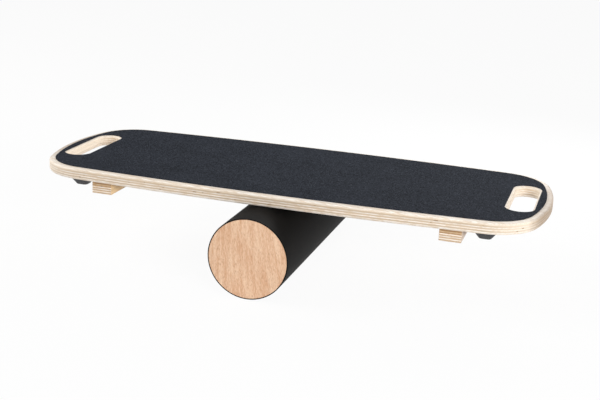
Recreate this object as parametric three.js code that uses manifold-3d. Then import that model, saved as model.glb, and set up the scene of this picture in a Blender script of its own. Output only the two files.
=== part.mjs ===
// Rola bola: a plywood balance deck with stop blocks and rubber feet, resting on a loose covered roller.
// Millimetres, +Z up. The origin lies on the floor under the middle of the deck, and +X runs along it.
import * as THREE from 'three';
import { mergeVertices } from 'three/addons/utils/BufferGeometryUtils.js';
import Module from 'manifold-3d';

// Clearances
const seatGap = 0.3; // between two pieces that seat on each other
const cutOverrun = 1; // how far a cutter runs past the face that it opens

// Deck board, routed from birch plywood
const deckLength = 750;
const deckWidth = 295;
const deckThickness = 16.5;
const deckCornerRadius = 73;
const deckEndBow = 8.5; // how far each short end swells past its corners
const deckSideBow = 10; // how far each long side swells past its corners
const deckEdgeRound = 3; // round-over on the outline and round both hand slots
const deckWoodOverScrews = 5; // left between a blind screw hole and the top face
const cornerLimitShare = 0.9; // of the half width that a corner may take

// Hand slots, one near each end
const slotWidth = 35;
const slotLength = 136;
const slotCentreFromEnd = 40;

// Grip sheet, glued on the top face
const gripThickness = 1;
const gripInset = 9; // bare wood between the outline and the sheet

// Stop blocks under the deck, which end the roller's travel
const stopWidth = 30.5;
const stopHeight = 18.4;
const stopOuterFromEnd = 104.5; // from the deck's end to a block's outer face
const stopEndInset = 16.5; // from the deck's long side to a block's end
const stopArris = 0.8;
const stopScrewCount = 3;
const stopScrewEndInset = 30;

// Countersunk wood screws that hold the stop blocks
const woodScrewRadius = 2;
const woodScrewHeadRadius = 4;
const woodScrewRim = 0.5;
const woodScrewSink = 0.6; // how far a head lies inside the block's face
const screwTipLength = 4;

// Rubber feet, outside the stop blocks near the corners
const footTopRadius = 20;
const footBottomRadius = 9;
const footHeight = 14;
const footRim = 1;
const footEdgeRound = 1.5;
const footRecessRadius = 5.2;
const footRecessDepth = 10;
const footToStop = 8;
const footFromSide = 23.5;

// Washers and pan-head screws in the feet
const washerThickness = 1;
const panScrewRadius = 2;
const panScrewHeadRadius = 4;
const panScrewHeadHeight = 2.6;

// Cross recess in every screw head
const driveSpan = 4.2;
const driveWidth = 0.9;
const driveDepth = 1.5;

// Roller: a plastic core tube with wooden end discs inside a rubber cover
const rollerLength = 413;
const rollerOffset = -2; // from under the deck's middle at rest
const coreDiameter = 110;
const coreWall = 5.3;
const coverThickness = 1.7;
const coverEdgeRound = 0.8;
const discFlangeThickness = 9;
const discSpigotDepth = 9;
const discEdgeRound = 0.6;

// Facet counts
const bowSegments = 12;
const cornerSegments = 14;
const slotSegments = 12;
const edgeSegments = 4;
const rollerSegments = 72;
const footSegments = 36;
const screwSegments = 16;
const roundSegments = 3;

// Places worked out from the sizes
const coreRadius = coreDiameter / 2;
const coverInnerRadius = coreRadius + seatGap;
const rollerRadius = coverInnerRadius + coverThickness;
const deckUnderside = 2 * rollerRadius + seatGap;
const stopCentreX = deckLength / 2 - stopOuterFromEnd - stopWidth / 2;
const stopLength = deckWidth - 2 * stopEndInset;
const footCentreX = deckLength / 2 - stopOuterFromEnd + footToStop + footTopRadius;
const footCentreY = deckWidth / 2 - footFromSide - footTopRadius;
const slotCentreX = deckLength / 2 - slotCentreFromEnd;
const pilotDepth = deckThickness - deckWoodOverScrews;
const screwHoleRadius = woodScrewRadius + seatGap;
const panHoleRadius = panScrewRadius + seatGap;

// Finishes, one colour, roughness and metalness each
const finishes = {
  birchPly: { color: 0xe0cdb2, roughness: 0.62, metalness: 0 },
  grip: { color: 0x2f3238, roughness: 0.95, metalness: 0 },
  blockPly: { color: 0xd3b48a, roughness: 0.65, metalness: 0 },
  footRubber: { color: 0x3a3a3b, roughness: 0.8, metalness: 0 },
  zincSteel: { color: 0xb9bcc0, roughness: 0.35, metalness: 1 },
  coverRubber: { color: 0x201f1f, roughness: 0.75, metalness: 0 },
  corePlastic: { color: 0x8d9296, roughness: 0.5, metalness: 0 },
  discBeech: { color: 0xd9b08c, roughness: 0.6, metalness: 0 },
};

const wasm = await Module();
wasm.setup();

// A closed three.js geometry as a solid that can be cut
function toSolid(geometry) {
  const bare = new THREE.BufferGeometry();
  bare.setAttribute('position', geometry.getAttribute('position'));
  bare.setIndex(geometry.getIndex());
  const merged = mergeVertices(bare);
  const index = merged.getIndex().array;
  const kept = [];
  for (let i = 0; i < index.length; i += 3) {
    const [a, b, c] = [index[i], index[i + 1], index[i + 2]];
    if (a !== b && b !== c && c !== a) kept.push(a, b, c);
  }
  const vertProperties = new Float32Array(merged.getAttribute('position').array);
  const triVerts = new Uint32Array(kept);
  return new wasm.Manifold(new wasm.Mesh({ numProp: 3, vertProperties, triVerts }));
}

// A cut solid back as a three.js geometry
function toGeometry(solid) {
  const mesh = solid.getMesh();
  const geometry = new THREE.BufferGeometry();
  geometry.setAttribute('position', new THREE.BufferAttribute(mesh.vertProperties, mesh.numProp));
  geometry.setIndex(new THREE.BufferAttribute(mesh.triVerts, 1));
  geometry.computeVertexNormals();
  return geometry;
}

// The body minus every cutter
function carve(body, cutters) {
  const solid = cutters.reduce((rest, cutter) => rest.subtract(toSolid(cutter)), toSolid(body));
  return toGeometry(solid);
}

// A piece turned round the vertical axis, from [radius, height] points
function turnUpright(points, segments) {
  const profile = points.map(([radius, height]) => new THREE.Vector2(radius, height));
  return new THREE.LatheGeometry(profile, segments).rotateX(Math.PI / 2);
}

// A piece turned round the roller's axis, which is three.js's own lathe axis
function turnAlongY(points, segments) {
  const profile = points.map(([radius, place]) => new THREE.Vector2(radius, place));
  return new THREE.LatheGeometry(profile, segments);
}

// A named mesh in one finish
function piece(name, geometry, finish, place = [0, 0, 0]) {
  const mesh = new THREE.Mesh(geometry, new THREE.MeshStandardMaterial(finishes[finish]));
  mesh.name = name;
  mesh.position.set(...place);
  return mesh;
}

// The deck's outline, moved in by an inset: bowed ends and sides that meet the corner arcs in tangents
function deckOutline(inset) {
  const corner = Math.min(deckCornerRadius, cornerLimitShare * (deckWidth / 2 - deckSideBow));
  const cornerX = deckLength / 2 - deckEndBow - corner;
  const cornerY = deckWidth / 2 - deckSideBow - corner;
  const endRadius = (cornerY ** 2 + deckEndBow ** 2) / (2 * deckEndBow);
  const sideRadius = (cornerX ** 2 + deckSideBow ** 2) / (2 * deckSideBow);
  const endAngle = Math.asin(cornerY / endRadius);
  const sideAngle = Math.asin(cornerX / sideRadius);
  const reach = corner - inset;
  const endCentre = deckLength / 2 - corner - endRadius;
  const sideCentre = deckWidth / 2 - corner - sideRadius;
  const quarter = Math.PI / 2;
  const half = Math.PI;
  const full = 2 * half;
  const arcs = [
    [endCentre, 0, endRadius + reach, -endAngle, endAngle, bowSegments],
    [cornerX, cornerY, reach, endAngle, quarter - sideAngle, cornerSegments],
    [0, sideCentre, sideRadius + reach, quarter - sideAngle, quarter + sideAngle, 2 * bowSegments],
    [-cornerX, cornerY, reach, quarter + sideAngle, half - endAngle, cornerSegments],
    [-endCentre, 0, endRadius + reach, half - endAngle, half + endAngle, bowSegments],
    [-cornerX, -cornerY, reach, half + endAngle, full - quarter - sideAngle, cornerSegments],
    [0, -sideCentre, sideRadius + reach, -quarter - sideAngle, -quarter + sideAngle, 2 * bowSegments],
    [cornerX, -cornerY, reach, -quarter + sideAngle, -endAngle, cornerSegments],
  ];
  const points = [];
  for (const [x, y, radius, start, end, segments] of arcs) {
    for (let step = 0; step < segments; step += 1) {
      const angle = start + ((end - start) * step) / segments;
      points.push(new THREE.Vector2(x + radius * Math.cos(angle), y + radius * Math.sin(angle)));
    }
  }
  return new THREE.Shape(points);
}

// A hand slot's outline with round ends, grown by a margin
function slotOutline(side, margin) {
  const radius = slotWidth / 2 + margin;
  const endCentre = (slotLength - slotWidth) / 2;
  const points = [];
  for (const end of [1, -1]) {
    for (let step = 0; step <= slotSegments; step += 1) {
      const angle = (Math.PI * step) / slotSegments;
      const x = side * slotCentreX + end * radius * Math.cos(angle);
      const y = end * (endCentre + radius * Math.sin(angle));
      points.push(new THREE.Vector2(x, y));
    }
  }
  return new THREE.Path(points);
}

// The places of one block's screws along its length
function stopScrewPlaces() {
  const reach = stopLength / 2 - stopScrewEndInset;
  const step = (2 * reach) / (stopScrewCount - 1);
  return Array.from({ length: stopScrewCount }, (_, index) => step * index - reach);
}

// A blind screw hole in the deck's underside
function pilotCutter(x, y, radius) {
  const points = [[0, -cutOverrun], [radius, -cutOverrun], [radius, pilotDepth], [0, pilotDepth]];
  return turnUpright(points, screwSegments).translate(x, y, 0);
}

// The deck board, from its underside at height 0 up
function deckGeometry() {
  const shape = deckOutline(0);
  shape.holes.push(slotOutline(1, 0), slotOutline(-1, 0));
  const board = new THREE.ExtrudeGeometry(shape, {
    depth: deckThickness - 2 * deckEdgeRound,
    bevelThickness: deckEdgeRound,
    bevelSize: deckEdgeRound,
    bevelOffset: -deckEdgeRound,
    bevelSegments: edgeSegments,
  }).translate(0, 0, deckEdgeRound);
  const holes = [];
  for (const side of [-1, 1]) {
    for (const y of stopScrewPlaces()) holes.push(pilotCutter(side * stopCentreX, y, screwHoleRadius));
    for (const end of [-1, 1]) {
      holes.push(pilotCutter(side * footCentreX, end * footCentreY, panHoleRadius));
    }
  }
  return carve(board, holes);
}

// The grip sheet, inset from the outline and cut back to the rims of the hand slots
function gripGeometry() {
  const shape = deckOutline(gripInset);
  shape.holes.push(slotOutline(1, deckEdgeRound), slotOutline(-1, deckEdgeRound));
  return new THREE.ExtrudeGeometry(shape, { depth: gripThickness, bevelEnabled: false });
}

// One stop block hanging under height 0, with a countersunk hole for each screw
function stopGeometry() {
  const halfWidth = stopWidth / 2;
  const halfLength = stopLength / 2;
  const shape = new THREE.Shape([
    new THREE.Vector2(-halfWidth, -halfLength),
    new THREE.Vector2(halfWidth, -halfLength),
    new THREE.Vector2(halfWidth, halfLength),
    new THREE.Vector2(-halfWidth, halfLength),
  ]);
  const block = new THREE.ExtrudeGeometry(shape, {
    depth: stopHeight - 2 * stopArris,
    bevelThickness: stopArris,
    bevelSize: stopArris,
    bevelOffset: -stopArris,
    bevelSegments: 1,
  }).translate(0, 0, stopArris - stopHeight);
  const headHoleRadius = woodScrewHeadRadius + seatGap;
  const coneStart = woodScrewSink + woodScrewRim - stopHeight;
  const coneEnd = coneStart + headHoleRadius - screwHoleRadius;
  const hole = [
    [0, -stopHeight - cutOverrun],
    [headHoleRadius, -stopHeight - cutOverrun],
    [headHoleRadius, coneStart],
    [screwHoleRadius, coneEnd],
    [screwHoleRadius, cutOverrun],
    [0, cutOverrun],
  ];
  const cutters = stopScrewPlaces().map((y) => turnUpright(hole, screwSegments).translate(0, y, 0));
  return carve(block, cutters);
}

// The cross recess of a screw whose head's face looks down at a height
function driveCutters(faceHeight) {
  const depth = driveDepth + cutOverrun;
  const centre = faceHeight + driveDepth - depth / 2;
  const alongX = new THREE.BoxGeometry(driveSpan, driveWidth, depth).translate(0, 0, centre);
  const alongY = new THREE.BoxGeometry(driveWidth, driveSpan, depth).translate(0, 0, centre);
  return [alongX, alongY];
}

// A countersunk wood screw: its face looks down inside a stop block, its tip is in the deck
function woodScrewGeometry() {
  const face = woodScrewSink - stopHeight - seatGap;
  const coneStart = face + woodScrewRim;
  const coneEnd = coneStart + woodScrewHeadRadius - woodScrewRadius;
  const tip = pilotDepth - seatGap;
  const profile = [
    [0, face],
    [woodScrewHeadRadius, face],
    [woodScrewHeadRadius, coneStart],
    [woodScrewRadius, coneEnd],
    [woodScrewRadius, tip - screwTipLength],
    [0, tip],
  ];
  return carve(turnUpright(profile, screwSegments), driveCutters(face));
}

// A rubber foot under height 0: a rim, a steep cone, a rounded nose and a recess for its screw
function footGeometry() {
  const slope = Math.atan2(footTopRadius - footBottomRadius, footHeight - footRim);
  const noseHeight = footEdgeRound - footHeight;
  const inward = (footEdgeRound - Math.sin(slope) * (noseHeight + footRim)) / Math.cos(slope);
  const noseRadius = footTopRadius - inward;
  const nose = [];
  for (let step = 0; step <= roundSegments; step += 1) {
    const angle = -slope - ((Math.PI / 2 - slope) * step) / roundSegments;
    const radius = noseRadius + footEdgeRound * Math.cos(angle);
    nose.push([radius, noseHeight + footEdgeRound * Math.sin(angle)]);
  }
  const recessTop = footRecessDepth - footHeight;
  const profile = [
    [footRecessRadius, -footHeight],
    ...nose.reverse(),
    [footTopRadius, -footRim],
    [footTopRadius, 0],
    [panHoleRadius, 0],
    [panHoleRadius, recessTop],
    [footRecessRadius, recessTop],
    [footRecessRadius, -footHeight],
  ];
  return turnUpright(profile, footSegments);
}

// The washer at the top of a foot's recess
function washerGeometry() {
  const top = footRecessDepth - footHeight - seatGap;
  const outerRadius = footRecessRadius - seatGap;
  const profile = [
    [panHoleRadius, top - washerThickness],
    [outerRadius, top - washerThickness],
    [outerRadius, top],
    [panHoleRadius, top],
    [panHoleRadius, top - washerThickness],
  ];
  return turnUpright(profile, footSegments);
}

// A pan-head screw up through a washer and a foot into the deck
function panScrewGeometry() {
  const seat = footRecessDepth - footHeight - washerThickness - 2 * seatGap;
  const face = seat - panScrewHeadHeight;
  const tip = pilotDepth; // a gap short of its hole, because the foot's frame lies a gap under the deck
  const shoulder = panScrewHeadRadius / 2;
  const profile = [
    [0, face],
    [shoulder, face],
    [panScrewHeadRadius, (face + seat) / 2],
    [panScrewHeadRadius, seat],
    [panScrewRadius, seat],
    [panScrewRadius, tip - screwTipLength],
    [0, tip],
  ];
  return carve(turnUpright(profile, screwSegments), driveCutters(face));
}

// The rubber cover: a tube with softened rims
function coverGeometry() {
  const end = rollerLength / 2;
  const profile = [
    [coverInnerRadius, -end],
    [rollerRadius - coverEdgeRound, -end],
    [rollerRadius, coverEdgeRound - end],
    [rollerRadius, end - coverEdgeRound],
    [rollerRadius - coverEdgeRound, end],
    [coverInnerRadius, end],
    [coverInnerRadius, -end],
  ];
  return turnAlongY(profile, rollerSegments);
}

// The core tube, which stops short of the end discs' flanges
function coreGeometry() {
  const end = rollerLength / 2 - discFlangeThickness - seatGap;
  const boreRadius = coreRadius - coreWall;
  const profile = [
    [boreRadius, -end],
    [coreRadius, -end],
    [coreRadius, end],
    [boreRadius, end],
    [boreRadius, -end],
  ];
  return turnAlongY(profile, rollerSegments);
}

// An end disc for the front: a flange over the tube's end and a spigot in its bore
function discGeometry() {
  const face = -rollerLength / 2;
  const flangeBack = face + discFlangeThickness;
  const spigotRadius = coreRadius - coreWall - seatGap;
  const profile = [
    [0, face],
    [coreRadius - discEdgeRound, face],
    [coreRadius, face + discEdgeRound],
    [coreRadius, flangeBack],
    [spigotRadius, flangeBack],
    [spigotRadius, flangeBack + discSpigotDepth],
    [0, flangeBack + discSpigotDepth],
  ];
  return turnAlongY(profile, rollerSegments);
}

// The deck with everything fixed to it
function buildDeck() {
  const deck = new THREE.Group();
  deck.position.z = deckUnderside;
  deck.add(piece('deck_board', deckGeometry(), 'birchPly'));
  deck.add(piece('grip_sheet', gripGeometry(), 'grip', [0, 0, deckThickness + seatGap]));
  for (const [sideName, side] of [['left', -1], ['right', 1]]) {
    const stopX = side * stopCentreX;
    deck.add(piece(`stop_block_${sideName}`, stopGeometry(), 'blockPly', [stopX, 0, -seatGap]));
    stopScrewPlaces().forEach((y, index) => {
      const name = `stop_screw_${sideName}_${index + 1}`;
      deck.add(piece(name, woodScrewGeometry(), 'zincSteel', [stopX, y, 0]));
    });
    for (const [endName, end] of [['front', -1], ['rear', 1]]) {
      const place = [side * footCentreX, end * footCentreY, -seatGap];
      deck.add(piece(`rubber_foot_${endName}_${sideName}`, footGeometry(), 'footRubber', place));
      deck.add(piece(`foot_washer_${endName}_${sideName}`, washerGeometry(), 'zincSteel', place));
      deck.add(piece(`foot_screw_${endName}_${sideName}`, panScrewGeometry(), 'zincSteel', place));
    }
  }
  return deck;
}

// The loose roller
function buildRoller() {
  const roller = new THREE.Group();
  roller.position.set(rollerOffset, 0, rollerRadius);
  roller.add(piece('roller_cover', coverGeometry(), 'coverRubber'));
  roller.add(piece('roller_core_tube', coreGeometry(), 'corePlastic'));
  roller.add(piece('roller_end_disc_front', discGeometry(), 'discBeech'));
  const rearDisc = piece('roller_end_disc_rear', discGeometry(), 'discBeech');
  rearDisc.rotation.z = Math.PI;
  roller.add(rearDisc);
  return roller;
}

const rolaBola = new THREE.Group();
rolaBola.add(buildDeck(), buildRoller());

export default rolaBola;
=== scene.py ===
"""Looks for a rola bola: a plywood balance deck resting on a loose covered roller.

Metres, +Z up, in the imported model's own frame. A name that ends in _mm holds millimetres.
"""

import logging
import math
from dataclasses import dataclass, field
from enum import Enum

import bmesh
import bpy
from bmesh.types import BMEdge, BMesh, BMFace, BMVert
from bpy.types import Material, Node, NodeSocket, NodeTree, Object
from mathutils import Matrix, Vector


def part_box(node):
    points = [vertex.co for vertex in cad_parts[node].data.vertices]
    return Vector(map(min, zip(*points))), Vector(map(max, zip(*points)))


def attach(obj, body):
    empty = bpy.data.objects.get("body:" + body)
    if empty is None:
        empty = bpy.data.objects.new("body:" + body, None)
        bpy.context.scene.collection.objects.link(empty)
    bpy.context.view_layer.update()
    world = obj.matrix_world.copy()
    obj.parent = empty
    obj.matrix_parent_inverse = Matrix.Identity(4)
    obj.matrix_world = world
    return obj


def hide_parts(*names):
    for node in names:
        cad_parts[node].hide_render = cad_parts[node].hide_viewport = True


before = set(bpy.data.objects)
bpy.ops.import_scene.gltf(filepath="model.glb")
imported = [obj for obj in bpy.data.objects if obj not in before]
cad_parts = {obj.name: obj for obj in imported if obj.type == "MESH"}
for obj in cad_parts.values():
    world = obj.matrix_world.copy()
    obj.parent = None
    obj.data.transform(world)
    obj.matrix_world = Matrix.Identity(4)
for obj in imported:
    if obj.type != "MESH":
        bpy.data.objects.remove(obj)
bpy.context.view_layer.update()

MM = 0.001
TURN = 2 * math.pi
WELD = 1e-6  # vertices closer than this are one
ON_RING = 1e-5  # a vertex closer than this to a ring lies on it
UP = Vector((0, 0, 1))
BACK = Vector((0, 1, 0))
log = logging.getLogger("rola_bola")


def linear(code: str) -> tuple[float, float, float, float]:
    """Turn an sRGB hex colour into the linear colour that a shader takes.

    Args:
        code: The colour as #rrggbb.

    Returns:
        Linear red, green and blue, and an alpha of 1.
    """
    shares = [int(code[i : i + 2], 16) / 255 for i in (1, 3, 5)]
    red, green, blue = (s / 12.92 if s <= 0.04045 else ((s + 0.055) / 1.055) ** 2.4 for s in shares)
    return red, green, blue, 1.0


def add_node(tree: NodeTree, kind: str, inputs: dict | None = None, **settings) -> Node:
    """Add one node with its settings, its socket values and its links.

    Args:
        tree: The node tree.
        kind: The node's type name.
        inputs: A value, or an output socket to link from, for each input by name or number.
        **settings: The node's own settings by name.

    Returns:
        The new node.
    """
    node = tree.nodes.new(kind)
    for name, value in settings.items():
        setattr(node, name, value)
    for name, value in (inputs or {}).items():
        if isinstance(value, NodeSocket):
            tree.links.new(value, node.inputs[name])
        else:
            node.inputs[name].default_value = value
    return node


def limits(kind: str, pair: tuple[float, float]) -> dict[str, float]:
    """Give a pair of values for the From or the To limits of a range."""
    return {f"{kind} Min": pair[0], f"{kind} Max": pair[1]}


def new_material(name: str, **shader_values) -> tuple[Material, NodeTree, Node]:
    """Start a material with one Principled BSDF.

    Args:
        name: The material's real name.
        **shader_values: Values for the shader's own sockets, with _ for a space in their names.

    Returns:
        The material, its node tree and the shader node.
    """
    material = bpy.data.materials.new(name)
    material.use_nodes = True
    tree = material.node_tree
    tree.nodes.clear()
    values = {key.replace("_", " "): value for key, value in shader_values.items()}
    shader = add_node(tree, "ShaderNodeBsdfPrincipled", values)
    add_node(tree, "ShaderNodeOutputMaterial", {"Surface": shader.outputs["BSDF"]})
    return material, tree, shader


class Side(Enum):
    """The two ends of the deck's length, by their sign along X."""

    LEFT = -1
    RIGHT = 1


class End(Enum):
    """The two ends of the roller and of the deck's width, by their sign along Y."""

    FRONT = -1
    REAR = 1


@dataclass(frozen=True)
class Plywood:
    """Birch plywood, cut and sanded.

    Rotary-peeled veneers are glued crosswise, so an edge shows pale side grain and darker end grain in turn,
    each ply in a shade of its own, with thin brown glue lines and a short dark gap here and there. The faces
    show thin tan lines along the fibre, which runs along X.
    """

    name: str
    underside: float
    face_ply: float  # the lower face; the upper face takes what the inner plies leave
    inner_ply: float
    inner_plies: int
    side_grain: str
    end_grain: str
    line: str
    glue: str
    fibre_mm: tuple[float, float] = (70.0, 2.0)  # real fibres are finer: as coarse as it takes to show
    fibre_turn: float = math.radians(12)
    fibre_step: float = 17.3  # how far apart in the noise the fibres of two plies lie
    line_level: tuple[float, float] = (0.42, 0.64)  # where in the fibre pattern a tan line starts and is full
    line_share: float = 0.7
    shade_run_mm: float = 80.0
    shade_step: float = 5.7
    shade_spread: float = 0.5  # how much plies differ, beside how much one drifts
    shade_level: tuple[float, float] = (0.4, 1.1)
    shade_range: tuple[float, float] = (0.9, 1.06)
    ply_wander_mm: float = 0.15
    ply_wander_scale: float = 5.0  # waves about 200 mm long
    seam_reach: tuple[float, float] = (0.03, 0.14)  # in shares of a ply: a glue line is full, and is gone
    seam_share: float = 0.4
    gap_run_mm: float = 9.0
    gap_step: float = 9.1
    gap_level: tuple[float, float] = (0.7, 0.75)
    gap_share: float = 0.8
    uncrossed_share: float = 0.3  # how much end grain shows where fibres run out of a face slantwise
    face_cosines: tuple[float, float] = (0.97, 0.8)  # from flat face to edge
    long_side_contrast: float = 1.0  # how strongly end grain shows on faces that look along X
    painted_side_lighting: str = "#ffffff"  # painted light and shade: the tone that faces looking along X take, standing in for how they are lit
    painted_side_lighting_share: float = 0.0  # the share of that painted light and shade
    glue_soak: str = "#d9c3a5"  # the tone where glue has soaked up into the upper face ply
    soak_share: float = 0.0
    soak_plies: float = 1.6  # how high it soaks, in inner plies
    ends_from: float = 10.0  # past this distance from the middle, end grain shows in full and the painted end shade sets in
    painted_end_shade: str = "#ffffff"  # painted shade: the darker, greyer tone of the sheet's ends
    end_run_mm: float = 14.0
    under_deck_shade: str = "#ffffff"  # painted shade: the brown that the upper plies take where the deck above shades them
    under_deck_shade_height: float = 1.0  # that painted shade lies above this height over the underside
    roughness: tuple[float, float] = (0.49, 0.65)
    relief_mm: float = 0.12
    relief_strength: float = 0.15
    seam_relief: float = -0.6

    def material(self) -> Material:
        """Build the material.

        Returns:
            The material, with every pattern on Object coordinates.
        """
        material, tree, shader = new_material(self.name, IOR=1.5, Specular_IOR_Level=0.3)
        place = add_node(tree, "ShaderNodeTexCoord")
        axes = add_node(tree, "ShaderNodeSeparateXYZ", {0: place.outputs["Object"]})
        facing = add_node(tree, "ShaderNodeSeparateXYZ", {0: place.outputs["Normal"]})
        ply, within = self.layers(tree, place, axes)
        crossed = add_node(tree, "ShaderNodeMath", {0: ply, 1: 1.0}, operation="PINGPONG")
        edge = self.edge_shares(tree, axes, facing, crossed.outputs[0])
        fibres = self.fibres(tree, place, crossed.outputs[0], ply)
        wood = self.wood(tree, fibres, edge["end"], self.soak(tree, ply, within))
        # painted shade under the deck browns the upper plies
        deck_shaded = self.under_deck_shading(tree, axes, wood)
        # painted light and shade: faces that look along X take a tone that stands for how they are lit
        cast = add_node(
            tree,
            "ShaderNodeMix",
            {"Factor": edge["side_lighting_share"], "A": deck_shaded, "B": linear(self.painted_side_lighting)},
            data_type="RGBA",
        )
        # painted shade: the sheet darkens and greys towards its ends
        end_shaded = add_node(
            tree,
            "ShaderNodeMix",
            {"Factor": edge["outer"], "A": cast.outputs["Result"], "B": linear(self.painted_end_shade)},
            data_type="RGBA",
            blend_type="MULTIPLY",
        )
        toned = add_node(
            tree,
            "ShaderNodeHueSaturation",
            {"Value": self.ply_shade(tree, place, ply), "Color": end_shaded.outputs["Result"]},
        )
        dark_share = add_node(
            tree,
            "ShaderNodeMath",
            {0: self.seams(tree, within), 1: self.gaps(tree, place, ply, edge["end"])},
            operation="MAXIMUM",
        )
        dark = add_node(
            tree, "ShaderNodeMath", {0: dark_share.outputs[0], 1: edge["edge"]}, operation="MULTIPLY"
        )
        colour = add_node(
            tree,
            "ShaderNodeMix",
            {"Factor": dark.outputs[0], "A": toned.outputs["Color"], "B": linear(self.glue)},
            data_type="RGBA",
        )
        tree.links.new(colour.outputs["Result"], shader.inputs["Base Color"])
        roughness = add_node(tree, "ShaderNodeMapRange", {"Value": fibres, **limits("To", self.roughness)})
        tree.links.new(roughness.outputs[0], shader.inputs["Roughness"])
        relief = add_node(
            tree,
            "ShaderNodeMath",
            {0: dark.outputs[0], 1: self.seam_relief, 2: fibres},
            operation="MULTIPLY_ADD",
        )
        bump = add_node(
            tree,
            "ShaderNodeBump",
            {"Strength": self.relief_strength, "Distance": self.relief_mm * MM, "Height": relief.outputs[0]},
        )
        tree.links.new(bump.outputs[0], shader.inputs["Normal"])
        return material

    def wood(self, tree: NodeTree, fibres: NodeSocket, end: NodeSocket, soak: NodeSocket) -> NodeSocket:
        """Colour side grain and end grain, with tan lines, and darken what glue has soaked.

        Args:
            tree: The material's node tree.
            fibres: The fibre pattern.
            end: The share of end grain.
            soak: The share of soaked wood.

        Returns:
            The colour.
        """
        cut = add_node(
            tree,
            "ShaderNodeMix",
            {"Factor": end, "A": linear(self.side_grain), "B": linear(self.end_grain)},
            data_type="RGBA",
        )
        lines = add_node(
            tree,
            "ShaderNodeMapRange",
            {"Value": fibres, **limits("From", self.line_level), "To Max": self.line_share},
        )
        lined = add_node(
            tree,
            "ShaderNodeMix",
            {"Factor": lines.outputs[0], "A": cut.outputs["Result"], "B": linear(self.line)},
            data_type="RGBA",
        )
        soaked = add_node(
            tree,
            "ShaderNodeMix",
            {"Factor": soak, "A": lined.outputs["Result"], "B": linear(self.glue_soak)},
            data_type="RGBA",
        )
        return soaked.outputs["Result"]

    def under_deck_shading(self, tree: NodeTree, axes: Node, wood: NodeSocket) -> NodeSocket:
        """Brown the plies above a height, as painted shade under the deck.

        Args:
            tree: The material's node tree.
            axes: The place as X, Y and Z.
            wood: The colour so far.

        Returns:
            The colour.
        """
        height = add_node(
            tree, "ShaderNodeMath", {0: axes.outputs["Z"], 1: self.underside}, operation="SUBTRACT"
        )
        rise = (self.under_deck_shade_height, self.under_deck_shade_height + self.inner_ply)
        deck_shade_share = add_node(tree, "ShaderNodeMapRange", {"Value": height.outputs[0], **limits("From", rise)})
        deck_shaded = add_node(
            tree,
            "ShaderNodeMix",
            {"Factor": deck_shade_share.outputs[0], "A": wood, "B": linear(self.under_deck_shade)},
            data_type="RGBA",
            blend_type="MULTIPLY",
        )
        return deck_shaded.outputs["Result"]

    def seams(self, tree: NodeTree, within: NodeSocket) -> NodeSocket:
        """Draw a thin glue line at each seam between two plies.

        Args:
            tree: The material's node tree.
            within: The share of an inner ply's thickness below the point.

        Returns:
            The share of glue.
        """
        seam = add_node(tree, "ShaderNodeMath", {0: within, 1: 0.5, 2: 0.5}, operation="COMPARE")
        near = add_node(tree, "ShaderNodeMath", {0: within, 1: 0.5}, operation="PINGPONG")
        share = add_node(
            tree,
            "ShaderNodeMapRange",
            {
                "Value": near.outputs[0],
                **limits("From", self.seam_reach),
                **limits("To", (self.seam_share, 0.0)),
            },
        )
        glued = add_node(
            tree, "ShaderNodeMath", {0: share.outputs[0], 1: seam.outputs[0]}, operation="MULTIPLY"
        )
        return glued.outputs[0]

    def layers(self, tree: NodeTree, place: Node, axes: Node) -> tuple[NodeSocket, NodeSocket]:
        """Number the plies from the underside.

        Args:
            tree: The material's node tree.
            place: Its texture coordinates.
            axes: The same place as X, Y and Z.

        Returns:
            The ply's number, and the share of its thickness below the point.
        """
        wander = add_node(
            tree,
            "ShaderNodeTexNoise",
            {"Vector": place.outputs["Object"], "Scale": self.ply_wander_scale, "Detail": 1.0},
        )
        reach = self.ply_wander_mm * MM
        shift = add_node(
            tree, "ShaderNodeMapRange", {"Value": wander.outputs["Fac"], "To Min": -reach, "To Max": reach}
        )
        height = add_node(
            tree, "ShaderNodeMath", {0: axes.outputs["Z"], 1: shift.outputs[0]}, operation="ADD"
        )
        above = add_node(
            tree, "ShaderNodeMath", {0: height.outputs[0], 1: self.underside}, operation="SUBTRACT"
        )
        level = add_node(
            tree,
            "ShaderNodeMath",
            {0: above.outputs[0], 1: 1 / self.inner_ply, 2: 1 - self.face_ply / self.inner_ply},
            operation="MULTIPLY_ADD",
        )
        whole = add_node(tree, "ShaderNodeMath", {0: level.outputs[0]}, operation="FLOOR")
        ply = add_node(tree, "ShaderNodeClamp", {"Value": whole.outputs[0], "Max": self.inner_plies + 1})
        within = add_node(
            tree, "ShaderNodeMath", {0: level.outputs[0], 1: ply.outputs[0]}, operation="SUBTRACT"
        )
        return ply.outputs[0], within.outputs[0]

    def soak(self, tree: NodeTree, ply: NodeSocket, within: NodeSocket) -> NodeSocket:
        """Let glue soak up into the upper face ply.

        Args:
            tree: The material's node tree.
            ply: The ply's number.
            within: The share of an inner ply's thickness below the point.

        Returns:
            The share of soaked wood.
        """
        face = add_node(
            tree, "ShaderNodeMath", {0: ply, 1: self.inner_plies + 1.0, 2: 0.5}, operation="COMPARE"
        )
        rise = add_node(
            tree,
            "ShaderNodeMapRange",
            {"Value": within, "From Max": self.soak_plies, **limits("To", (self.soak_share, 0.0))},
        )
        share = add_node(
            tree, "ShaderNodeMath", {0: face.outputs[0], 1: rise.outputs[0]}, operation="MULTIPLY"
        )
        return share.outputs[0]

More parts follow.
